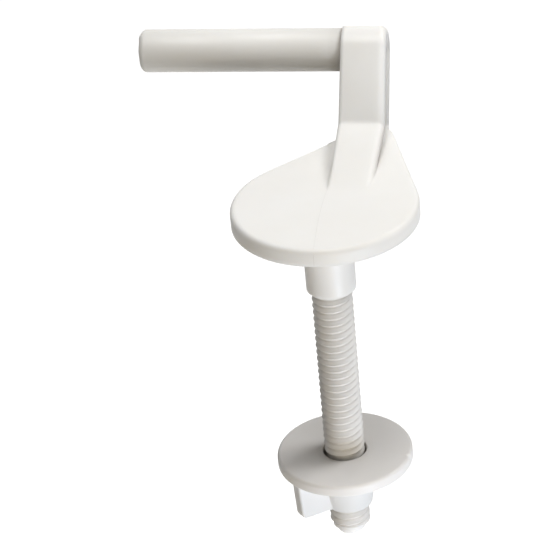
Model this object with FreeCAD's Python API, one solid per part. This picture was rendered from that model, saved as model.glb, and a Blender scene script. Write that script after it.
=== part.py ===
import FreeCAD, Part
import math
import os

# Toilet seat hinge with its fixing, in millimetres.
# The origin is on the bolt's axis, at the underside of the hinge plate, where the plate
# sits on the pan.  +Z points up, the hinge pin points to -X, and +Y is the back of the pan.

# Hinge plate: a teardrop, wide round the bolt and narrow under the post
PLATE_THICK = 5.0
PLATE_RADIUS = 26.8
PLATE_EDGE_ROUND = 1.4
TAIL_X = 9.5
TAIL_Y = 39.6
TAIL_RADIUS = 5.8

# Post: a slab that leans back and ends in a round knuckle
POST_LEAN = 39.0
POST_WIDTH = 13.1
POST_FOOT_WIDTH = 13.4
RAMP_START_WIDTH = 12.1
POST_RIGHT_ROUND = 2.2
KNUCKLE_RADIUS = 6.9
KNUCKLE_Y = 55.1
KNUCKLE_RISE = 19.7

# Ramp: the rib that runs up the plate to the post's foot
RAMP_START_Y = 7.0
RAMP_RISE = 6.1
RAMP_RIGHT_ROUND = 2.0
FLARE_WIDTH = 4.2

# Coring of the post and ramp, open on the post's right side
WALL = 2.2
LEFT_WALL = 3.0
BOSS_WALL = 2.2
BOSS_END_WALL = 1.4

# Hinge pin: the seat's lug turns on it
PIN_RADIUS = 6.35
PIN_LENGTH = 60.4
PIN_END_ROUND = 1.8
SPIGOT_RADIUS = 4.0
SPIGOT_LENGTH = 7.0

# Collar under the plate, which holds the head of the bolt
COLLAR_RADIUS = 7.2
COLLAR_LENGTH = 23.5
COLLAR_CHAMFER = 0.9
SOCKET_ROOF = 2.6

# Bolt, to the crests of its thread.  The thread is plain rings of the real pitch and depth
# on a many-sided section, which keeps the solid light.
BOLT_RADIUS = 6.0
BOLT_REACH = 107.0
BOLT_TAPER = 3.2
BOLT_TIP_RADIUS = 3.8
THREAD_PITCH = 2.25
THREAD_DEPTH = 0.85
THREAD_SIDES = 16

# Clamp washer: the broad disc that bears on the underside of the pan
CLAMP_GAP = 78.8
WASHER_RADIUS = 20.0
WASHER_THICK = 3.5
WASHER_CHAMFER = 0.45
WASHER_HOLE_CLEARANCE = 0.45

# Wing nut: a tapered hub with two wings for finger and thumb
HUB_LENGTH = 14.7
HUB_TOP_RADIUS = 9.8
HUB_FOOT_RADIUS = 7.1
WING_ANGLE = 40.0
WING_THICK = 3.8
WING_TOP_REACH = 17.9
WING_FOOT_REACH = 17.1
WING_FOOT_RISE = 0.8
WING_CORNER_ROUND = 2.0
WING_EDGE_ROUND = 0.7

# Fits
PRESS_CLEARANCE = 0.02
THREAD_CLEARANCE = 0.08
OVERRUN = 5.0


def vec(x, y, z):
    return FreeCAD.Vector(x, y, z)


def face_of(edges):
    return Part.Face(Part.Wire(edges))


def lines_through(points):
    """Straight edges from each point to the next, closed."""
    ends = points[1:] + points[:1]
    return [Part.makeLine(a, b) for a, b in zip(points, ends)]


def cylinder(radius, low_z, high_z):
    """Upright cylinder on the bolt's axis."""
    return Part.makeCylinder(radius, high_z - low_z, vec(0, 0, low_z))


def cross_cylinder(radius, low_x, high_x):
    """Cylinder on the hinge pin's axis."""
    base = vec(low_x, KNUCKLE_Y, PLATE_THICK + KNUCKLE_RISE)
    return Part.makeCylinder(radius, high_x - low_x, base, vec(1, 0, 0))


def extrude_x(face, low_x, high_x):
    """A face drawn in the plane X = 0, made solid from low_x to high_x."""
    moved = face.translated(vec(low_x, 0, 0))
    return moved.extrude(vec(high_x - low_x, 0, 0))


def teardrop_wire(grow=0.0):
    """Outline of the plate at Z = 0: two arcs and the straight lines that touch both."""
    distance = math.hypot(TAIL_X, TAIL_Y)
    heading = math.atan2(TAIL_Y, TAIL_X)
    spread = math.acos((PLATE_RADIUS - TAIL_RADIUS) / distance)
    wide = PLATE_RADIUS + grow
    narrow = TAIL_RADIUS + grow

    def on_wide(angle):
        return vec(wide * math.cos(angle), wide * math.sin(angle), 0)

    def on_narrow(angle):
        return vec(TAIL_X + narrow * math.cos(angle), TAIL_Y + narrow * math.sin(angle), 0)

    left = heading + spread
    right = heading - spread
    edges = [
        Part.Arc(on_wide(left), on_wide(heading + math.pi), on_wide(right)).toShape(),
        Part.makeLine(on_wide(right), on_narrow(right)),
        Part.Arc(on_narrow(right), on_narrow(heading), on_narrow(left)).toShape(),
        Part.makeLine(on_narrow(left), on_wide(left)),
    ]
    return Part.Wire(edges)


def plate():
    """Teardrop plate with its upper edge rounded."""
    solid = Part.Face(teardrop_wire()).extrude(vec(0, 0, PLATE_THICK))
    rim = [edge for edge in solid.Edges if edge.BoundBox.ZMin > PLATE_THICK - 0.01]
    return solid.makeFillet(PLATE_EDGE_ROUND, rim)


def knuckle_centre():
    return vec(0, KNUCKLE_Y, PLATE_THICK + KNUCKLE_RISE)


def post_up():
    """Direction up the slanted front of the post."""
    lean = math.radians(POST_LEAN)
    return vec(0, math.sin(lean), math.cos(lean))


def post_forward():
    """Direction out of the slanted front of the post."""
    lean = math.radians(POST_LEAN)
    return vec(0, -math.cos(lean), math.sin(lean))


def down_to(point, height):
    """The point where a line down the post from the given point reaches a height."""
    up = post_up()
    return point - up * ((point.z - height) / up.z)


def crease_point():
    """Where the ramp meets the front of the post, in the plane X = 0."""
    front = knuckle_centre() + post_forward() * KNUCKLE_RADIUS
    return down_to(front, PLATE_THICK + RAMP_RISE)


def post_face(inset, foot_z):
    """Side outline of the post, its walls moved in by inset, standing on foot_z."""
    centre = knuckle_centre()
    radius = KNUCKLE_RADIUS - inset
    front = centre + post_forward() * radius
    back = centre - post_forward() * radius
    top = centre + post_up() * radius
    front_foot = down_to(front, foot_z)
    back_foot = down_to(back, foot_z)
    edges = [
        Part.makeLine(front_foot, front),
        Part.Arc(front, top, back).toShape(),
        Part.makeLine(back, back_foot),
        Part.makeLine(back_foot, front_foot),
    ]
    return face_of(edges)


def right_side_cutter(near_y, near_width, far_y, far_width):
    """Everything to the right of an upright side that passes through two widths."""
    spread = math.atan2(far_width - near_width, far_y - near_y)
    size = 4.0 * (KNUCKLE_Y + KNUCKLE_RADIUS)
    box = Part.makeBox(size, size, size, vec(0, -size / 2, -size / 2))
    box.rotate(vec(0, 0, 0), vec(0, 0, 1), -math.degrees(spread))
    box.translate(vec(near_width, near_y, 0))
    return box


def post_side_cutter():
    """Right of the post, which is drafted: narrower at the knuckle than at its foot."""
    return right_side_cutter(crease_point().y, POST_FOOT_WIDTH, KNUCKLE_Y, POST_WIDTH)


def ramp_side_cutter():
    """Right of the ramp, which spreads from its start to the post's foot."""
    crease_y = crease_point().y
    size = 4.0 * KNUCKLE_Y
    before_post = Part.makeBox(size, size, size, vec(0, crease_y - size, -size / 2))
    cutter = right_side_cutter(RAMP_START_Y, RAMP_START_WIDTH, crease_y, POST_FOOT_WIDTH)
    return cutter.common(before_post)


def post_slab():
    """The leaning slab with its knuckle, before coring.  Its left edges stay crisp."""
    slab = extrude_x(post_face(0.0, 0.0), 0.0, 2.0 * POST_WIDTH)
    slab = slab.cut(post_side_cutter())
    right = [edge for edge in slab.Edges if edge.BoundBox.XMin > RAMP_START_WIDTH - 0.01]
    slab = slab.makeFillet(POST_RIGHT_ROUND, upper_edges(right))
    return slab.cut(ramp_side_cutter())


def upper_edges(edges):
    """The edges that rise above the plate."""
    return [edge for edge in edges if edge.BoundBox.ZMax > PLATE_THICK + 0.1]


def ramp():
    """Rib that rises from the plate to the crease, its right edge rounded like the post's."""
    crease = crease_point()
    start = vec(0, RAMP_START_Y, PLATE_THICK)
    points = [start, crease, vec(0, crease.y, 0), vec(0, RAMP_START_Y, 0)]
    solid = extrude_x(face_of(lines_through(points)), 0.0, 2.0 * POST_WIDTH)
    solid = solid.cut(ramp_side_cutter())
    right = [edge for edge in solid.Edges if edge.BoundBox.XMin > RAMP_START_WIDTH - 0.01]
    sloped = [edge for edge in right if edge.BoundBox.ZMin > PLATE_THICK - 0.01]
    return solid.makeFillet(RAMP_RIGHT_ROUND, sloped)


def flare_section(y, width, height):
    """Hollow-curved corner between the ramp's left side and the plate."""
    foot = vec(-width, y, PLATE_THICK)
    corner = vec(0, y, PLATE_THICK)
    top = vec(0, y, PLATE_THICK + height)
    middle = vec(-0.43 * width, y, PLATE_THICK + 0.43 * height)
    edges = [
        Part.makeLine(foot, corner),
        Part.makeLine(corner, top),
        Part.Arc(top, middle, foot).toShape(),
    ]
    return Part.Wire(edges)


def flare():
    """Curved flank on the ramp's left, growing from its start to the post's foot."""
    crease = crease_point()
    start_y = RAMP_START_Y + 0.15 * (crease.y - RAMP_START_Y)
    end_y = crease.y + TAIL_RADIUS
    scale = (start_y - RAMP_START_Y) / (crease.y - RAMP_START_Y)
    first = flare_section(start_y, 0.5 * scale * FLARE_WIDTH, scale * RAMP_RISE)
    last = flare_section(end_y, FLARE_WIDTH, RAMP_RISE)
    body = Part.makeLoft([first, last], True, True)
    height = 2 * PLATE_THICK + RAMP_RISE
    outline = Part.Face(teardrop_wire(-PLATE_EDGE_ROUND)).extrude(vec(0, 0, height))
    return body.common(outline)


def core_face():
    """Outline of the hollow in the post and ramp, one wall inside their outer surface."""
    slab = post_face(WALL, PLATE_THICK)
    crease = crease_point()
    slope = math.atan2(RAMP_RISE, crease.y - RAMP_START_Y)
    lowered = WALL / math.cos(slope)
    back_y = down_to(knuckle_centre(), PLATE_THICK).y
    start_y = RAMP_START_Y + lowered / math.tan(slope)
    top_z = crease.z + (back_y - crease.y) * math.tan(slope) - lowered
    points = [vec(0, start_y, PLATE_THICK), vec(0, back_y, PLATE_THICK), vec(0, back_y, top_z)]
    wedge = face_of(lines_through(points))
    return slab.fuse(wedge).removeSplitter()


def core():
    """Hollow open to the right: deep below the knuckle, shallow round the pin's boss."""
    hollow = extrude_x(core_face(), LEFT_WALL, POST_WIDTH + OVERRUN)
    boss = cross_cylinder(SPIGOT_RADIUS + BOSS_WALL, 0.0, SPIGOT_LENGTH + BOSS_END_WALL)
    return hollow.cut(boss)


def spigot_bore():
    """Blind hole in the knuckle for the hinge pin's spigot."""
    return cross_cylinder(SPIGOT_RADIUS + PRESS_CLEARANCE, -OVERRUN, SPIGOT_LENGTH + PRESS_CLEARANCE)


def collar():
    """Smooth collar under the plate, chamfered at its foot."""
    solid = cylinder(COLLAR_RADIUS, -COLLAR_LENGTH, PLATE_THICK / 2)
    foot = [edge for edge in solid.Edges if edge.BoundBox.ZMax < 0.01 - COLLAR_LENGTH]
    return solid.makeChamfer(COLLAR_CHAMFER, foot)


def bolt_socket():
    """Blind hole up through the collar for the plain head of the bolt."""
    return cylinder(BOLT_RADIUS + PRESS_CLEARANCE, -COLLAR_LENGTH - OVERRUN, PLATE_THICK - SOCKET_ROOF)


def hinge_body():
    """Plate, ramp, cored post and collar: one moulding."""
    solid = plate().fuse([post_slab(), ramp(), flare(), collar()])
    solid = solid.removeSplitter()
    for cutter in (core(), spigot_bore(), bolt_socket()):
        solid = solid.cut(cutter)
    return solid


def pivot_pin():
    """Hinge pin: a shoulder against the post, and a spigot pressed into its boss."""
    barrel = cross_cylinder(PIN_RADIUS, -PIN_LENGTH, 0.0)
    end = [edge for edge in barrel.Edges if edge.BoundBox.XMax < 0.01 - PIN_LENGTH]
    barrel = barrel.makeFillet(PIN_END_ROUND, end)
    spigot = cross_cylinder(SPIGOT_RADIUS, -1.0, SPIGOT_LENGTH)
    return barrel.fuse(spigot).removeSplitter()


def thread_section(radius, z):
    """Corners of the bolt's many-sided section, at the given radius."""
    corners = []
    for side in range(THREAD_SIDES):
        angle = 2 * math.pi * side / THREAD_SIDES
        corners.append(vec(radius * math.cos(angle), radius * math.sin(angle), z))
    return corners


def flat_face(corners):
    return Part.Face(Part.makePolygon(corners + corners[:1]))


def band(upper, lower):
    """Flat faces that join one section to the next."""
    faces = []
    for side in range(THREAD_SIDES):
        after = (side + 1) % THREAD_SIDES
        faces.append(flat_face([upper[side], upper[after], lower[after], lower[side]]))
    return faces


def crest_radius(z):
    """Radius over the crests: full along the bolt, shrinking over the taper to the tip."""
    left = (z + BOLT_REACH) / BOLT_TAPER
    return BOLT_TIP_RADIUS + (BOLT_RADIUS - BOLT_TIP_RADIUS) * min(1.0, left)


def thread():
    """Threaded length of the bolt, from a root at the collar's foot to the plain tip."""
    half = THREAD_PITCH / 2
    steps = math.floor((BOLT_REACH - COLLAR_LENGTH) / half - 0.5)
    sections = []
    for step in range(steps + 1):
        z = -COLLAR_LENGTH - step * half
        depth = 0.0 if step % 2 else THREAD_DEPTH
        sections.append(thread_section(crest_radius(z) - depth, z))
    sections.append(thread_section(BOLT_TIP_RADIUS, -BOLT_REACH))
    faces = [flat_face(sections[0]), flat_face(sections[-1])]
    for upper, lower in zip(sections, sections[1:]):
        faces += band(upper, lower)
    return Part.makeSolid(Part.makeShell(faces))


def fixing_bolt():
    """Bolt: a plain head in the collar's socket, then the thread down to the tip."""
    head = cylinder(BOLT_RADIUS, -COLLAR_LENGTH, PLATE_THICK - SOCKET_ROOF - PRESS_CLEARANCE)
    return head.fuse(thread())


def clamp_washer():
    """Broad disc with a clearance hole for the bolt, its upper edge broken."""
    disc = cylinder(WASHER_RADIUS, -CLAMP_GAP - WASHER_THICK, -CLAMP_GAP)
    rim = [edge for edge in disc.Edges if edge.BoundBox.ZMin > -CLAMP_GAP - 0.01]
    disc = disc.makeChamfer(WASHER_CHAMFER, rim)
    hole = BOLT_RADIUS + WASHER_HOLE_CLEARANCE
    return disc.cut(cylinder(hole, -CLAMP_GAP - WASHER_THICK - 1, 1 - CLAMP_GAP))


def wing(seat_z):
    """One wing, from inside the hub to its drafted outer edge, before it is turned."""
    foot_z = seat_z - HUB_LENGTH
    root = HUB_FOOT_RADIUS - WING_EDGE_ROUND
    points = [
        vec(root, 0, seat_z),
        vec(WING_TOP_REACH, 0, seat_z),
        vec(WING_FOOT_REACH, 0, foot_z + WING_FOOT_RISE),
        vec(root, 0, foot_z),
    ]
    blade = face_of(lines_through(points)).extrude(vec(0, WING_THICK, 0))
    blade.translate(vec(0, -WING_THICK / 2, 0))
    corner = [edge for edge in blade.Edges if is_cross_edge_at(edge, points[2])]
    blade = blade.makeFillet(WING_CORNER_ROUND, corner)
    outer = [edge for edge in blade.Edges if is_long_outer_edge(edge, root, seat_z)]
    return blade.makeFillet(WING_EDGE_ROUND, outer)


def is_cross_edge_at(edge, point):
    """An edge across the wing's thickness, at the given point of its outline."""
    centre = edge.CenterOfMass
    return abs(centre.x - point.x) < 0.01 and abs(centre.z - point.z) < 0.01


def is_long_outer_edge(edge, root, seat_z):
    """An edge round the wing's free outline, not across it, at the hub or on the washer."""
    box = edge.BoundBox
    lies_on_side = box.YLength < 0.01
    at_root = box.XMax < root + 0.01
    on_seat = box.ZMin > seat_z - 0.01
    return lies_on_side and not at_root and not on_seat


def wing_nut():
    """Tapered hub with two opposite wings, bored to run on the bolt's thread."""
    seat_z = -CLAMP_GAP - WASHER_THICK
    foot_z = seat_z - HUB_LENGTH
    hub = Part.makeCone(HUB_FOOT_RADIUS, HUB_TOP_RADIUS, HUB_LENGTH, vec(0, 0, foot_z))
    wings = []
    for turn in (0.0, 180.0):
        blade = wing(seat_z)
        blade.rotate(vec(0, 0, 0), vec(0, 0, 1), WING_ANGLE + turn)
        wings.append(blade)
    solid = hub.fuse(wings).removeSplitter()
    return solid.cut(cylinder(BOLT_RADIUS + THREAD_CLEARANCE, foot_z - 1, seat_z + 1))


PIECES = {
    "hinge_body": hinge_body,
    "pivot_pin": pivot_pin,
    "fixing_bolt": fixing_bolt,
    "clamp_washer": clamp_washer,
    "wing_nut": wing_nut,
}

os.makedirs("parts", exist_ok=True)
for name, make in PIECES.items():
    shape = make()
    print(name, "solids", len(shape.Solids), "valid", shape.isValid(), "volume", round(shape.Volume, 1))
    shape.exportStep("parts/" + name + ".step")
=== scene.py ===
import math

import bmesh
import bpy
from mathutils import Matrix, Quaternion, Vector


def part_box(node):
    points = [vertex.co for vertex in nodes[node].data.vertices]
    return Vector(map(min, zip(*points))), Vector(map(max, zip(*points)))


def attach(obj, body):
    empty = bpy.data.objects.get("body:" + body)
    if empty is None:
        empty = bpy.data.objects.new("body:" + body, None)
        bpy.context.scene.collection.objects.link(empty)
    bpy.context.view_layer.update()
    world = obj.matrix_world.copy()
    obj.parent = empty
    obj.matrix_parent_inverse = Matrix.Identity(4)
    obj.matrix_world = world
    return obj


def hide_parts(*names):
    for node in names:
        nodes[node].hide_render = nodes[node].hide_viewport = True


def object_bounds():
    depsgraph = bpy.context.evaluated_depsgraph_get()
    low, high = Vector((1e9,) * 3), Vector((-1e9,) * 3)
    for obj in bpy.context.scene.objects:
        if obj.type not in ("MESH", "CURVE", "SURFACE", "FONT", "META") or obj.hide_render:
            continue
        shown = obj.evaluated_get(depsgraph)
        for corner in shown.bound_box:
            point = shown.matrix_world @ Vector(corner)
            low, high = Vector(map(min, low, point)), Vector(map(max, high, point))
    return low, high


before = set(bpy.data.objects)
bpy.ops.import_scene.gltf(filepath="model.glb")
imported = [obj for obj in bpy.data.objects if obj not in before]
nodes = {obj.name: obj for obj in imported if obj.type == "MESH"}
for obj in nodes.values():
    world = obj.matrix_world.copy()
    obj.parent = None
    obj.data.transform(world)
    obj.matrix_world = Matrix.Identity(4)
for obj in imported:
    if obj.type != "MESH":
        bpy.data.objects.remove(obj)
cad_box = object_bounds()

# Toilet seat hinge with its bolt, washer and wing nut, dressed in satin white plastic.
# The frame is the part's own: origin under the hinge plate on the bolt's axis, +Z up, pin to -X.
MM = 0.001

# Camera
VIEW_AZIMUTH = 10.835
VIEW_ELEVATION = 31.087
VIEW_ROLL = -5.327
VIEW_DISTANCE = 903.03 * MM
VIEW_TARGET = Vector((-14.696, 0.0, -20.686)) * MM
LENS = 202.93
SENSOR = 36.0

# Studio
FLOOR_DROP = 220.0 * MM
FLOOR_SIZE = 12.0
FLOOR_PAINT = (0.72, 0.71, 0.69, 1)
FLOOR_GLOW = 0.85
ROOM_TINT = (1.0, 0.95, 0.86, 1)
ROOM_STRENGTH = 0.1
COOL = (0.74, 0.84, 1.0)
WARM = (1.0, 0.88, 0.70)
MIDDLE = (0.0, 0.0, -30.0 * MM)
NUT_HEIGHT = (0.0, 0.0, -85.0 * MM)

# Plastic: painted shade in hollows and round wider corners, mould grain
# Painted shade colours: the first darkens tight creases and hollows, the next two spread it round
# wider hollows.
CREASE_SHADE_TINT = (0.30, 0.25, 0.20, 1)
WIDE_SHADE_TINT = (0.36, 0.36, 0.33, 1)
WIDE_SHADE_REACH = 10.0 * MM
GRAIN_STRENGTH = 0.04
GRAIN_DEPTH = 0.1 * MM
SCATTER = 0.12
SCATTER_REACH = 2.0 * MM
SCATTER_TINT = (1.0, 0.9, 0.75)
PLASTIC_IOR = 1.49

# Bolt thread
PITCH = 2.25 * MM
THREAD_DEPTH = 1.0 * MM
THREAD_START = 0.21
UPPER_FLANK = 0.56
LOWER_FLANK = 0.11
FLANK_POWER = 0.75
CREST_RADIUS = 6.0 * MM
TAPER_LENGTH = 3.2 * MM
TIP_RADIUS = 3.8 * MM
TIP_STEEPNESS = 4.0
TIP_BLEND = 0.6 * MM
ROWS_PER_TURN = 24
COLUMNS = 64

# Washer, with a small nick in its rim
WASHER_TOP_EDGE = 1.1 * MM
WASHER_EDGE = 0.5 * MM
WASHER_HOLE = 6.45 * MM
WASHER_HOLE_EDGE = 0.15 * MM
NICK_ANGLE = math.radians(-9.0)
NICK_DEPTH = 0.7 * MM
NICK_WIDTH = 0.03

# Hinge pin, its end left uneven by the mould's gate
PIN_RADIUS = 6.35 * MM
PIN_END_ROUND = 1.7 * MM
GATE_REACH = 0.18 * MM
GATE_NUB = 0.34 * MM
GATE_NUB_ANGLE = 0.25
GATE_NUB_WIDTH = 0.22
SLOW_WAVE = 0.06 * MM
FAST_WAVE = 0.04 * MM

# Hinge plate, and the soft fillet on the ramp's left side
PLATE_THICK = 5.0 * MM
PLATE_EDGE_ROUND = 1.4 * MM
RAMP_START_Y = 7.0 * MM
RAMP_RISE = 6.1 * MM
CREASE_Y = 34.9 * MM
TAIL_EDGE_Y = 37.4 * MM
FLANK_START_Y = 7.6 * MM
FLANK_END_Y = 36.6 * MM
FLANK_HEIGHT = 0.85 * MM
FLANK_SPREAD = 4.0
FLANK_SUNK = 0.2 * MM
FLANK_ROWS = 40
FLANK_STEPS = 10
FLARE_LOW = (-6.0 * MM, 6.0 * MM, 5.004 * MM)
FLARE_HIGH = (-0.004 * MM, 45.0 * MM, 12.0 * MM)
SHARP_ANGLE = math.radians(22)

# Mould seam: a fine ridge of flash over the plate, near X = 0, and a fine line down its rim
SEAM_RADIUS = 0.09 * MM
SEAM_SUNK = SEAM_RADIUS * 0.6
SEAM_EDGE_X = 0.28 * MM
SEAM_FRONT_X = 0.3 * MM
SEAM_BOW = 0.78 * MM
SEAM_BOW_TURN = math.pi * 0.78
SEAM_WANDER = 0.25 * MM
SEAM_STEP = 0.5 * MM
SEAM_END_Y = 8.0 * MM
RIM_LINE_LOW = (0.22 * MM, -27.0 * MM, 0.25 * MM)
RIM_LINE_HIGH = (0.36 * MM, -26.73 * MM, 3.75 * MM)

MERGE_DISTANCE = 1e-6


# --- small helpers -------------------------------------------------------------------------


def link(obj):
    bpy.context.scene.collection.objects.link(obj)
    return obj


def mesh_object(name, points, faces):
    """An object made of plain points and faces, shaded smooth."""
    mesh = bpy.data.meshes.new(name)
    mesh.from_pydata(points, [], faces)
    mesh.validate()
    for face in mesh.polygons:
        face.use_smooth = True
    return link(bpy.data.objects.new(name, mesh))


def point_outwards(obj):
    """Merges doubles and turns every face outwards."""
    work = bmesh.new()
    work.from_mesh(obj.data)
    bmesh.ops.remove_doubles(work, verts=work.verts, dist=MERGE_DISTANCE)
    bmesh.ops.recalc_face_normals(work, faces=work.faces)
    work.to_mesh(obj.data)
    work.free()


def shade_by_angle(mesh):
    """Smooth shading with crisp edges wherever two faces meet at more than SHARP_ANGLE."""
    stored = mesh.attributes.get("custom_normal")
    if stored:
        mesh.attributes.remove(stored)
    mesh.shade_smooth()
    work = bmesh.new()
    work.from_mesh(mesh)
    for edge in work.edges:
        edge.smooth = edge.calc_face_angle(0.0) < SHARP_ANGLE
    work.to_mesh(mesh)
    work.free()


def apply_modifiers(piece):
    """Keeps the shape that a piece's modifiers give, and clears them."""
    graph = bpy.context.evaluated_depsgraph_get()
    shape = bpy.data.meshes.new_from_object(piece.evaluated_get(graph))
    piece.modifiers.clear()
    piece.data = shape


def rounded_outline(corners, steps=6):
    """A closed outline in (radius, height), each corner rounded by its own radius."""
    outline = []
    count = len(corners)
    for index, (radius, height, bend) in enumerate(corners):
        here = Vector((radius, height))
        before = Vector(corners[index - 1][:2])
        after = Vector(corners[(index + 1) % count][:2])
        if bend <= 0:
            outline.append(here)
            continue
        towards = (before - here).normalized()
        onwards = (after - here).normalized()
        half = towards.angle(onwards) / 2
        reach = bend / math.tan(half)
        centre = here + (towards + onwards).normalized() * (bend / math.sin(half))
        first = here + towards * reach - centre
        last = here + onwards * reach - centre
        sweep = first.angle_signed(last)
        for step in range(steps + 1):
            spoke = first.copy()
            spoke.rotate(Matrix.Rotation(-sweep * step / steps, 2))
            outline.append(centre + spoke)
    return outline


def turned(name, outline, place, segments=144, closed=True):
    """A body of revolution. place(radius, height, angle) gives the point in the frame."""
    points = []
    for segment in range(segments):
        angle = 2 * math.pi * segment / segments
        points += [place(radius, height, angle) for radius, height in outline]
    rows = len(outline)
    faces = []
    for segment in range(segments):
        here = segment * rows
        there = ((segment + 1) % segments) * rows
        for row in range(rows if closed else rows - 1):
            after = (row + 1) % rows
            faces.append((here + row, there + row, there + after, here + after))
    piece = mesh_object(name, points, faces)
    point_outwards(piece)
    return piece


def clamp01(value):
    return max(0.0, min(1.0, value))


def half_turn(angle):
    """The same angle, between -pi and pi."""
    return (angle + math.pi) % (2 * math.pi) - math.pi


def upright(radius, height, angle):
    return (radius * math.cos(angle), radius * math.sin(angle), height)


# --- node trees ----------------------------------------------------------------------------


def add_node(tree, kind, **settings):
    node = tree.nodes.new(kind)
    for setting, value in settings.items():
        setattr(node, setting, value)
    return node


def feed(tree, socket, value):
    """Joins a socket to another, or gives it a plain value."""
    if isinstance(value, bpy.types.NodeSocket):
        tree.links.new(value, socket)
    elif value is not None:
        socket.default_value = value


def maths(tree, operation, first, second=None, third=None):
    node = add_node(tree, "ShaderNodeMath", operation=operation)
    for socket, value in zip(node.inputs, (first, second, third)):
        feed(tree, socket, value)
    return node.outputs[0]


def clamped(tree, value):
    node = add_node(tree, "ShaderNodeMath", operation="ADD", use_clamp=True)
    feed(tree, node.inputs[0], value)
    node.inputs[1].default_value = 0.0
    return node.outputs[0]


def noise(tree, where, scale, detail=3.0, roughness=0.55):
    node = add_node(tree, "ShaderNodeTexNoise")
    feed(tree, node.inputs["Vector"], where)
    node.inputs["Scale"].default_value = scale
    node.inputs["Detail"].default_value = detail
    node.inputs["Roughness"].default_value = roughness
    return node.outputs["Fac"]


def between(tree, value, low, high, from_low=0.3, from_high=0.7):
    node = add_node(tree, "ShaderNodeMapRange")
    feed(tree, node.inputs["Value"], value)
    node.inputs["From Min"].default_value = from_low
    node.inputs["From Max"].default_value = from_high
    node.inputs["To Min"].default_value = low
    node.inputs["To Max"].default_value = high
    return node.outputs["Result"]


def mixed(tree, factor, first, second):
    node = add_node(tree, "ShaderNodeMix", data_type="RGBA")
    feed(tree, node.inputs["Factor"], factor)
    feed(tree, node.inputs[6], first)
    feed(tree, node.inputs[7], second)
    return node.outputs[2]


def tree_with_inputs(name, sizes, whole_numbers):
    """A geometry tree with named inputs for its sizes, and one for its plastic."""
    tree = bpy.data.node_groups.new(name, "GeometryNodeTree")
    face = tree.interface
    face.new_socket("Geometry", in_out="INPUT", socket_type="NodeSocketGeometry")
    for size in sizes:
        face.new_socket(size, in_out="INPUT", socket_type="NodeSocketFloat")
    for number in whole_numbers:
        face.new_socket(number, in_out="INPUT", socket_type="NodeSocketInt")
    face.new_socket("Plastic", in_out="INPUT", socket_type="NodeSocketMaterial")
    face.new_socket("Geometry", in_out="OUTPUT", socket_type="NodeSocketGeometry")
    return tree


def finish_tree(tree, shape, plastic):
    """Realize Instances and Set Material, then out."""
    realized = add_node(tree, "GeometryNodeRealizeInstances")
    feed(tree, realized.inputs[0], shape)
    painted = add_node(tree, "GeometryNodeSetMaterial")
    feed(tree, painted.inputs["Geometry"], realized.outputs[0])
    feed(tree, painted.inputs["Material"], plastic)
    out = add_node(tree, "NodeGroupOutput")
    feed(tree, out.inputs[0], painted.outputs[0])


def made_by_nodes(name, tree, values, source=None):
    """Runs a geometry tree with these input values and keeps its result as a plain mesh."""
    source = source or bpy.data.meshes.new(name + "_maker")
    host = link(bpy.data.objects.new(name + "_maker", source))
    modifier = host.modifiers.new("maker", "NODES")
    modifier.node_group = tree
    for item in tree.interface.items_tree:
        if item.in_out == "INPUT" and item.name in values:
            modifier[item.identifier] = values[item.name]
    graph = bpy.context.evaluated_depsgraph_get()
    mesh = bpy.data.meshes.new_from_object(host.evaluated_get(graph))
    host.modifiers.remove(modifier)
    bpy.data.objects.remove(host)
    mesh.name = name
    return link(bpy.data.objects.new(name, mesh))


# --- plastics ------------------------------------------------------------------------------


def painted_hollow_shade(tree, tint, shade_tint, reach, amount, shut, clear):
    """Painted shade: darker colour where nearby faces leave a place open by less than clear, at
    its most below shut.
    """
    openness = add_node(tree, "ShaderNodeAmbientOcclusion", samples=8)
    openness.inputs["Distance"].default_value = reach
    shut_in = between(tree, openness.outputs["AO"], amount, 0.0, shut, clear)
    return mixed(tree, shut_in, tint, shade_tint)


def mould_grain(tree, where, edge):
    """Normals with softened edges, fine grain and faint waves."""
    fine = noise(tree, where, 2600.0, 2.0)
    waves = noise(tree, where, 120.0, 2.0)
    softened = add_node(tree, "ShaderNodeBevel", samples=8)
    softened.inputs["Radius"].default_value = edge
    bump = add_node(tree, "ShaderNodeBump")
    feed(tree, bump.inputs["Normal"], softened.outputs["Normal"])
    bump.inputs["Strength"].default_value = GRAIN_STRENGTH
    bump.inputs["Distance"].default_value = GRAIN_DEPTH
    feed(tree, bump.inputs["Height"], maths(tree, "MULTIPLY_ADD", waves, 6.0, fine))
    return bump.outputs["Normal"]


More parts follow.
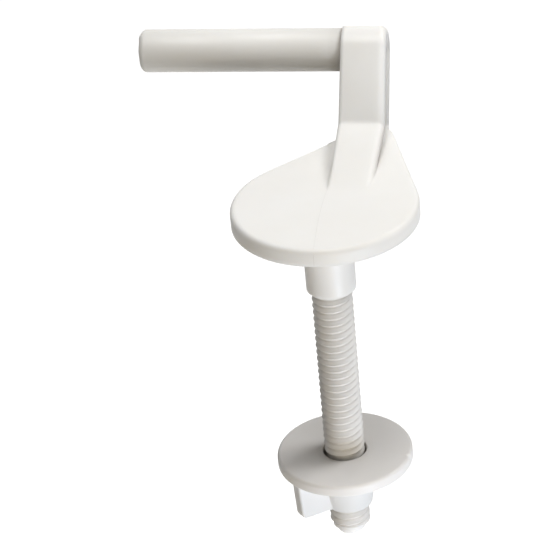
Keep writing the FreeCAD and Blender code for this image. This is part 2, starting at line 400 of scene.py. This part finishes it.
def satin_plastic(name, colour, shade, gloss=(0.36, 0.5), edge=0.5 * MM,
                  hollow=4.0 * MM, crease_shade=0.3, wide_shade=0.0):
    """Moulded white plastic: faint clouding, mould grain, satin sheen, light scuffs and painted
    shade in hollows.
    """
    material = bpy.data.materials.new(name)
    material.use_nodes = True
    tree = material.node_tree
    shader = tree.nodes["Principled BSDF"]
    where = add_node(tree, "ShaderNodeTexCoord").outputs["Object"]
    clouds = between(tree, noise(tree, where, 55.0, 4.0), 0.0, 1.0)
    tint = mixed(tree, clouds, (*colour, 1), (*shade, 1))
    # Painted shade: the colour darkens in creases and hollows where ambient occlusion finds faces
    # close by.
    tint = painted_hollow_shade(tree, tint, CREASE_SHADE_TINT, hollow, crease_shade, 0.35, 0.95)
    # Painted shade again, spread more widely round larger hollows.
    tint = painted_hollow_shade(tree, tint, WIDE_SHADE_TINT, WIDE_SHADE_REACH, wide_shade, 0.25, 0.75)
    feed(tree, shader.inputs["Base Color"], tint)
    sheen = between(tree, noise(tree, where, 260.0, 3.0), *gloss)
    scuffs = between(tree, noise(tree, where, 700.0, 6.0, 0.7), 0.0, 0.14, 0.62, 0.72)
    feed(tree, shader.inputs["Roughness"], maths(tree, "ADD", sheen, scuffs))
    feed(tree, shader.inputs["Normal"], mould_grain(tree, where, edge))
    shader.inputs["Subsurface Weight"].default_value = SCATTER
    shader.inputs["Subsurface Scale"].default_value = SCATTER_REACH
    shader.inputs["Subsurface Radius"].default_value = SCATTER_TINT
    shader.inputs["IOR"].default_value = PLASTIC_IOR
    return material


# --- bolt ----------------------------------------------------------------------------------


def thread_tree():
    """A bolt whose radius follows a right-hand thread, closed at its head and its tip."""
    sizes = ["Crest Radius", "Depth", "Pitch", "Head", "Foot", "Taper", "Tip Radius", "Start"]
    sizes += ["Thread Top"]
    tree = tree_with_inputs("bolt_thread", sizes, ["Rows Per Turn", "Columns"])
    given = add_node(tree, "NodeGroupInput").outputs
    turn = 2 * math.pi
    step = maths(tree, "DIVIDE", given["Pitch"], given["Rows Per Turn"])
    length = maths(tree, "SUBTRACT", given["Head"], given["Foot"])
    caps = maths(tree, "ADD", given["Crest Radius"], given["Tip Radius"])
    reach = maths(tree, "ADD", maths(tree, "ADD", length, caps), given["Pitch"])
    rows = maths(tree, "CEIL", maths(tree, "ADD", maths(tree, "DIVIDE", reach, step), 2.0))
    grid = add_node(tree, "GeometryNodeMeshGrid")
    feed(tree, grid.inputs["Vertices X"], maths(tree, "ADD", given["Columns"], 1.0))
    feed(tree, grid.inputs["Vertices Y"], rows)
    place = add_node(tree, "ShaderNodeSeparateXYZ")
    feed(tree, place.inputs[0], add_node(tree, "GeometryNodeInputPosition").outputs[0])
    around = maths(tree, "ADD", place.outputs["X"], 0.5)
    along = maths(tree, "MULTIPLY", maths(tree, "ADD", place.outputs["Y"], 0.5),
                  maths(tree, "SUBTRACT", rows, 1.0))
    fallen = maths(tree, "MULTIPLY", maths(tree, "ROUND", along), step)
    start = maths(tree, "ADD", given["Head"], given["Crest Radius"])
    climb = maths(tree, "MULTIPLY", around, given["Pitch"])
    raw = maths(tree, "ADD", maths(tree, "SUBTRACT", start, fallen), climb)
    height = maths(tree, "MINIMUM", maths(tree, "MAXIMUM", raw, given["Foot"]), given["Head"])
    radius = thread_radius(tree, given, around, raw, height)
    angle = maths(tree, "MULTIPLY", around, turn)
    spot = add_node(tree, "ShaderNodeCombineXYZ")
    feed(tree, spot.inputs["X"], maths(tree, "MULTIPLY", radius, maths(tree, "COSINE", angle)))
    feed(tree, spot.inputs["Y"], maths(tree, "MULTIPLY", radius, maths(tree, "SINE", angle)))
    feed(tree, spot.inputs["Z"], height)
    bent = add_node(tree, "GeometryNodeSetPosition")
    feed(tree, bent.inputs["Geometry"], grid.outputs["Mesh"])
    feed(tree, bent.inputs["Position"], spot.outputs[0])
    merged = add_node(tree, "GeometryNodeMergeByDistance")
    feed(tree, merged.inputs["Geometry"], bent.outputs[0])
    merged.inputs["Distance"].default_value = MERGE_DISTANCE
    outward = add_node(tree, "GeometryNodeFlipFaces")
    feed(tree, outward.inputs["Mesh"], merged.outputs[0])
    smooth = add_node(tree, "GeometryNodeSetShadeSmooth")
    feed(tree, smooth.inputs["Geometry"], outward.outputs[0])
    finish_tree(tree, smooth.outputs[0], given["Plastic"])
    return tree


def thread_radius(tree, given, around, raw, height):
    """Radius at a place on the bolt: thread, tapered tip, and the two flat ends."""
    turns = maths(tree, "SUBTRACT", maths(tree, "DIVIDE", height, given["Pitch"]), around)
    phase = maths(tree, "FRACT", maths(tree, "ADD", turns, given["Start"]))
    slope = between(tree, phase, 0.0, 1.0, 0.0, UPPER_FLANK)
    ledge = between(tree, phase, 1.0, 0.0, 1.0 - LOWER_FLANK, 1.0)
    groove = maths(tree, "MULTIPLY", maths(tree, "POWER", slope, FLANK_POWER), ledge)
    above_foot = maths(tree, "SUBTRACT", height, given["Foot"])
    tip_fade = clamped(tree, maths(tree, "DIVIDE", above_foot, given["Taper"]))
    below_top = maths(tree, "SUBTRACT", given["Thread Top"], height)
    top_fade = clamped(tree, maths(tree, "DIVIDE", below_top, given["Pitch"]))
    depth = maths(tree, "MULTIPLY", given["Depth"], maths(tree, "MULTIPLY", tip_fade, top_fade))
    lean = maths(tree, "SUBTRACT", given["Crest Radius"], given["Tip Radius"])
    spread = maths(tree, "MULTIPLY", tip_fade, lean)
    outside = maths(tree, "ADD", given["Tip Radius"], spread)
    cut = maths(tree, "SUBTRACT", outside, maths(tree, "MULTIPLY", groove, depth))
    past_foot = maths(tree, "MAXIMUM", maths(tree, "SUBTRACT", given["Foot"], raw), 0.0)
    past_head = maths(tree, "MAXIMUM", maths(tree, "SUBTRACT", raw, given["Head"]), 0.0)
    inner = maths(tree, "SUBTRACT", given["Tip Radius"], past_foot)
    cap = maths(tree, "SUBTRACT", given["Crest Radius"], past_head)
    foot_cut = maths(tree, "ADD", inner, maths(tree, "MULTIPLY", above_foot, TIP_STEEPNESS))
    nearest = maths(tree, "SMOOTH_MIN", cut, foot_cut, TIP_BLEND)
    return maths(tree, "MAXIMUM", maths(tree, "MINIMUM", nearest, cap), 0.0)


def threaded_bolt(plastic):
    """The bolt as one mesh between its CAD ends, its thread beginning below the plate."""
    low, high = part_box("fixing_bolt")
    values = {
        "Crest Radius": CREST_RADIUS, "Depth": THREAD_DEPTH, "Pitch": PITCH,
        "Head": high.z, "Foot": low.z, "Taper": TAPER_LENGTH, "Tip Radius": TIP_RADIUS,
        "Start": THREAD_START, "Thread Top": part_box("hinge_body")[0].z + PITCH,
        "Rows Per Turn": ROWS_PER_TURN, "Columns": COLUMNS, "Plastic": plastic,
    }
    return made_by_nodes("threaded_bolt", thread_tree(), values)


# --- washer, pin and hinge body --------------------------------------------------------------


def clamp_disc():
    """Broad washer with softly rounded edges and a small nick in its rim."""
    low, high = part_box("clamp_washer")
    middle_height = (low.z + high.z) / 2

    def nicked(radius, height, angle):
        dent = NICK_DEPTH * math.exp(-((half_turn(angle - NICK_ANGLE) / NICK_WIDTH) ** 2))
        on_rim = clamp01((radius - high.x + 3 * WASHER_TOP_EDGE) / WASHER_TOP_EDGE - 1.0)
        on_top = clamp01((height - middle_height) / WASHER_EDGE + 0.6)
        return upright(radius - dent * on_rim * on_top, height, angle)

    corners = [
        (high.x, low.z, WASHER_EDGE),
        (high.x, high.z, WASHER_TOP_EDGE),
        (WASHER_HOLE, high.z, WASHER_HOLE_EDGE),
        (WASHER_HOLE, low.z, WASHER_HOLE_EDGE),
    ]
    return turned("clamp_disc", rounded_outline(corners), nicked, 360)


def gate_scar(radius, angle):
    """How far the pin's end stands out: level but uneven, with a nub where the gate broke off."""
    share = radius / PIN_RADIUS
    uneven = SLOW_WAVE * math.sin(2 * angle + 0.6) + FAST_WAVE * math.sin(7 * angle)
    nub = GATE_NUB * math.exp(-((angle - GATE_NUB_ANGLE) / GATE_NUB_WIDTH) ** 2)
    return uneven * share + nub * min(1.0, share) ** 4


def round_pin():
    """Hinge pin from its shoulder to its rounded end."""
    low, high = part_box("pivot_pin")
    centre = Vector((0.0, (low.y + high.y) / 2, (low.z + high.z) / 2))
    end = low.x + GATE_REACH
    flat = PIN_RADIUS - PIN_END_ROUND
    corners = [(flat * step / 6, end, 0.0) for step in range(6)]
    corners += [(PIN_RADIUS, end, PIN_END_ROUND), (PIN_RADIUS, 0.0, 0.0), (0.0, 0.0, 0.0)]
    outline = rounded_outline(corners, 10)

    def sideways(radius, height, angle):
        near_end = max(0.0, 1.0 - (height - end) / PIN_END_ROUND)
        along = height - near_end * gate_scar(radius, half_turn(angle))
        return (along, centre.y - radius * math.sin(angle), centre.z + radius * math.cos(angle))

    return turned("round_pin", outline, sideways, 180, closed=False)


def flank_section(y, width, height):
    """Points of a low hollow fillet in the corner between the ramp's left side and the plate."""
    sunk = PLATE_THICK - FLANK_SUNK
    points = [(FLANK_SUNK, y, sunk), (FLANK_SUNK, y, PLATE_THICK + height)]
    for step in range(FLANK_STEPS + 1):
        share = step / FLANK_STEPS
        points.append((-width * share, y, PLATE_THICK + height * (1.0 - share) ** 2))
    points.append((-width, y, sunk))
    return points


def ramp_flank():
    """Soft fillet down the ramp's left side, from nothing at its start to the plate's edge."""
    points = []
    for row in range(FLANK_ROWS + 1):
        y = FLANK_START_Y + row / FLANK_ROWS * (FLANK_END_Y - FLANK_START_Y)
        ramp_height = RAMP_RISE * (y - RAMP_START_Y) / (CREASE_Y - RAMP_START_Y)
        height = min(FLANK_HEIGHT, 0.5 * ramp_height)
        width = min(FLANK_SPREAD * height, TAIL_EDGE_Y - y)
        points += flank_section(y, width, height)
    ring = len(points) // (FLANK_ROWS + 1)
    faces = [tuple(range(ring)), tuple(range(len(points) - ring, len(points)))]
    for row in range(FLANK_ROWS):
        for spot in range(ring):
            here = row * ring + spot
            after = row * ring + (spot + 1) % ring
            faces.append((here, after, after + ring, here + ring))
    piece = mesh_object("ramp_flank", points, faces)
    point_outwards(piece)
    return piece


def cutting_block(name, low, high):
    corners = [(x, y, z) for x in (low[0], high[0])
               for y in (low[1], high[1]) for z in (low[2], high[2])]
    sides = [(0, 1, 3, 2), (4, 6, 7, 5), (0, 4, 5, 1), (2, 3, 7, 6), (0, 2, 6, 4), (1, 5, 7, 3)]
    block = mesh_object(name, corners, sides)
    point_outwards(block)
    return block


def moulded_body(plastic):
    """Merged copy of the hinge body, with a soft fillet where its plain left flare was."""
    piece = link(bpy.data.objects.new("hinge_moulding", nodes["hinge_body"].data.copy()))
    point_outwards(piece)
    flare = cutting_block("flare_block", FLARE_LOW, FLARE_HIGH)
    rim_line = cutting_block("rim_line_block", RIM_LINE_LOW, RIM_LINE_HIGH)
    tools = [("DIFFERENCE", flare), ("UNION", ramp_flank()), ("DIFFERENCE", rim_line)]
    for operation, tool in tools:
        step = piece.modifiers.new(tool.name, "BOOLEAN")
        step.operation = operation
        step.solver = "EXACT"
        step.object = tool
    apply_modifiers(piece)
    for _, tool in tools:
        bpy.data.objects.remove(tool)
    shade_by_angle(piece.data)
    level = piece.modifiers.new("flat faces stay flat", "WEIGHTED_NORMAL")
    level.keep_sharp = True
    level.weight = 100
    apply_modifiers(piece)
    piece.data.materials.clear()
    piece.data.materials.append(plastic)
    return piece


def seam_tree():
    """A fine ridge of flash swept along the line where the mould's halves met."""
    tree = tree_with_inputs("mould_seam", ["Radius", "Wander", "Step"], ["Sides"])
    given = add_node(tree, "NodeGroupInput").outputs
    line = add_node(tree, "GeometryNodeResampleCurve", mode="LENGTH")
    feed(tree, line.inputs["Curve"], given["Geometry"])
    feed(tree, line.inputs["Length"], given["Step"])
    spot = add_node(tree, "GeometryNodeInputPosition").outputs[0]
    drift = maths(tree, "SUBTRACT", noise(tree, spot, 160.0, 2.0), 0.5)
    shift = add_node(tree, "ShaderNodeCombineXYZ")
    feed(tree, shift.inputs["X"], maths(tree, "MULTIPLY", drift, given["Wander"]))
    moved = add_node(tree, "GeometryNodeSetPosition")
    feed(tree, moved.inputs["Geometry"], line.outputs[0])
    feed(tree, moved.inputs["Offset"], shift.outputs[0])
    section = add_node(tree, "GeometryNodeCurvePrimitiveCircle")
    feed(tree, section.inputs["Resolution"], given["Sides"])
    feed(tree, section.inputs["Radius"], given["Radius"])
    swept = add_node(tree, "GeometryNodeCurveToMesh")
    feed(tree, swept.inputs["Curve"], moved.outputs[0])
    feed(tree, swept.inputs["Profile Curve"], section.outputs[0])
    swept.inputs["Fill Caps"].default_value = True
    smooth = add_node(tree, "GeometryNodeSetShadeSmooth")
    feed(tree, smooth.inputs["Geometry"], swept.outputs[0])
    finish_tree(tree, smooth.outputs[0], given["Plastic"])
    return tree


def seam_line():
    """The ridge's course: over the plate's edge, across its top in a slight bow, to the ramp."""
    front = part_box("hinge_body")[0].y
    points = []
    for step in range(1, 6):
        angle = step / 6 * math.pi / 2
        away = PLATE_EDGE_ROUND * (1.0 - math.cos(angle)) + SEAM_SUNK
        down = PLATE_EDGE_ROUND * (1.0 - math.sin(angle)) + SEAM_SUNK
        points.append((SEAM_EDGE_X, front + away, PLATE_THICK - down))
    start = front + PLATE_EDGE_ROUND
    for step in range(13):
        share = step / 12
        bow = SEAM_FRONT_X - SEAM_BOW * math.sin(share * SEAM_BOW_TURN)
        along = start + share * (SEAM_END_Y - start)
        points.append((bow, along, PLATE_THICK - SEAM_SUNK))
    return points


def mould_seam(plastic):
    """The ridge, swept along its course."""
    curve = bpy.data.curves.new("seam_line", "CURVE")
    curve.dimensions = "3D"
    course = seam_line()
    spline = curve.splines.new("POLY")
    spline.points.add(len(course) - 1)
    for point, place in zip(spline.points, course):
        point.co = (*place, 1.0)
    values = {
        "Radius": SEAM_RADIUS, "Wander": SEAM_WANDER, "Step": SEAM_STEP,
        "Sides": 8, "Plastic": plastic,
    }
    return made_by_nodes("mould_seam", seam_tree(), values, curve)


# --- studio --------------------------------------------------------------------------------


def seen_directly(tree):
    """1 for what the camera, a gloss or a clear body sees, 0 for light on the object."""
    path = add_node(tree, "ShaderNodeLightPath").outputs
    either = maths(tree, "MAXIMUM", path["Is Camera Ray"], path["Is Glossy Ray"])
    return maths(tree, "MAXIMUM", either, path["Is Transmission Ray"])


def studio_world():
    """White behind the object, and a dim warm room round it for its light."""
    world = bpy.data.worlds.new("studio")
    bpy.context.scene.world = world
    world.use_nodes = True
    tree = world.node_tree
    tree.nodes.clear()
    room = add_node(tree, "ShaderNodeBackground")
    room.inputs["Color"].default_value = ROOM_TINT
    room.inputs["Strength"].default_value = ROOM_STRENGTH
    white = add_node(tree, "ShaderNodeBackground")
    white.inputs["Color"].default_value = (1, 1, 1, 1)
    mix = add_node(tree, "ShaderNodeMixShader")
    feed(tree, mix.inputs[0], seen_directly(tree))
    feed(tree, mix.inputs[1], room.outputs[0])
    feed(tree, mix.inputs[2], white.outputs[0])
    out = add_node(tree, "ShaderNodeOutputWorld")
    feed(tree, out.inputs["Surface"], mix.outputs[0])


def floor_paint():
    """Pale floor: white where it is lit, keeping the object's shadow."""
    material = bpy.data.materials.new("pale_floor")
    material.use_nodes = True
    tree = material.node_tree
    tree.nodes.clear()
    plain = add_node(tree, "ShaderNodeBsdfDiffuse")
    plain.inputs["Color"].default_value = FLOOR_PAINT
    glow = add_node(tree, "ShaderNodeEmission")
    feed(tree, glow.inputs["Strength"], maths(tree, "MULTIPLY", seen_directly(tree), FLOOR_GLOW))
    both = add_node(tree, "ShaderNodeAddShader")
    feed(tree, both.inputs[0], plain.outputs[0])
    feed(tree, both.inputs[1], glow.outputs[0])
    out = add_node(tree, "ShaderNodeOutputMaterial")
    feed(tree, out.inputs["Surface"], both.outputs[0])
    return material


def studio_floor():
    height = cad_box[0].z - FLOOR_DROP
    half = FLOOR_SIZE / 2
    spots = [(-half, -half), (half, -half), (half, half), (-half, half)]
    corners = [(x, y, height) for x, y in spots]
    floor = mesh_object("studio_floor", corners, [(0, 1, 2, 3)])
    floor.data.materials.append(floor_paint())


def soft_light(name, place, target, size, power, colour=(1, 1, 1)):
    lamp = bpy.data.lights.new(name, "AREA")
    lamp.shape = "DISK"
    lamp.size = size
    lamp.energy = power
    lamp.color = colour
    obj = link(bpy.data.objects.new(name, lamp))
    obj.location = place
    obj.rotation_euler = (Vector(target) - Vector(place)).to_track_quat("-Z", "Y").to_euler()


def studio_camera():
    azimuth = math.radians(VIEW_AZIMUTH)
    elevation = math.radians(VIEW_ELEVATION)
    level = math.cos(elevation)
    back = Vector((math.sin(azimuth) * level, -math.cos(azimuth) * level, math.sin(elevation)))
    lens = bpy.data.cameras.new("studio_camera")
    lens.lens = LENS
    lens.sensor_width = SENSOR
    lens.clip_end = 50.0
    camera = link(bpy.data.objects.new("studio_camera", lens))
    turn = (-back).to_track_quat("-Z", "Y") @ Quaternion((0, 0, 1), math.radians(VIEW_ROLL))
    camera.location = VIEW_TARGET + back * VIEW_DISTANCE
    camera.rotation_mode = "QUATERNION"
    camera.rotation_quaternion = turn
    bpy.context.scene.camera = camera


# --- the scene -----------------------------------------------------------------------------


def put_on(piece, body, slot, *replaced):
    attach(piece, body)
    for node in replaced:
        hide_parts(node)


bpy.context.scene.view_settings.view_transform = "Standard"

# The hinge's white darkens in its creases, such as beside the ramp: painted shade.
hinge_white = satin_plastic("hinge_white", (0.94, 0.93, 0.905), (0.92, 0.905, 0.87),
                            edge=1.8 * MM, hollow=4.5 * MM, crease_shade=0.35)
seam_white = satin_plastic("seam_white", (0.90, 0.89, 0.86), (0.87, 0.855, 0.82),
                           edge=0.02 * MM, crease_shade=0.0)
pin_white = satin_plastic("pin_white", (0.83, 0.82, 0.79), (0.81, 0.795, 0.755))
# The bolt darkens strongly in its thread grooves and more widely near the washer: painted shade.
bolt_grey = satin_plastic("bolt_grey", (0.95, 0.94, 0.92), (0.93, 0.915, 0.89), (0.38, 0.52),
                          edge=0.1 * MM, hollow=1.4 * MM, crease_shade=0.9, wide_shade=0.5)
washer_grey = satin_plastic("washer_grey", (0.89, 0.87, 0.85), (0.87, 0.85, 0.825), (0.42, 0.58))
nut_white = satin_plastic("nut_white", (0.80, 0.80, 0.795), (0.78, 0.78, 0.77))

body = moulded_body(hinge_white)
put_on(body, "hinge", "hinge_plastic", "hinge_body")
nodes["wing_nut"].material_slots[0].material = nut_white

seam = mould_seam(seam_white)
put_on(seam, "hinge", "hinge_plastic")

bolt = threaded_bolt(bolt_grey)
put_on(bolt, "hinge", "bolt_plastic", "fixing_bolt")

disc = clamp_disc()
disc.data.materials.append(washer_grey)
put_on(disc, "washer", "washer_plastic", "clamp_washer")

pin = round_pin()
pin.data.materials.append(pin_white)
put_on(pin, "hinge", "pin_plastic", "pivot_pin")

studio_world()
studio_floor()
soft_light("overhead_softbox", (0.0, -0.07, 0.77), MIDDLE, 0.4, 3.15)
soft_light("right_rear_softbox", (0.45, 0.26, 0.58), MIDDLE, 0.4, 2.85)
soft_light("low_right_panel", (0.2, -0.23, -0.2), NUT_HEIGHT, 0.14, 0.62, COOL)
soft_light("low_front_panel", (0.083, -0.31, -0.085), NUT_HEIGHT, 0.14, 0.32, WARM)
studio_camera()
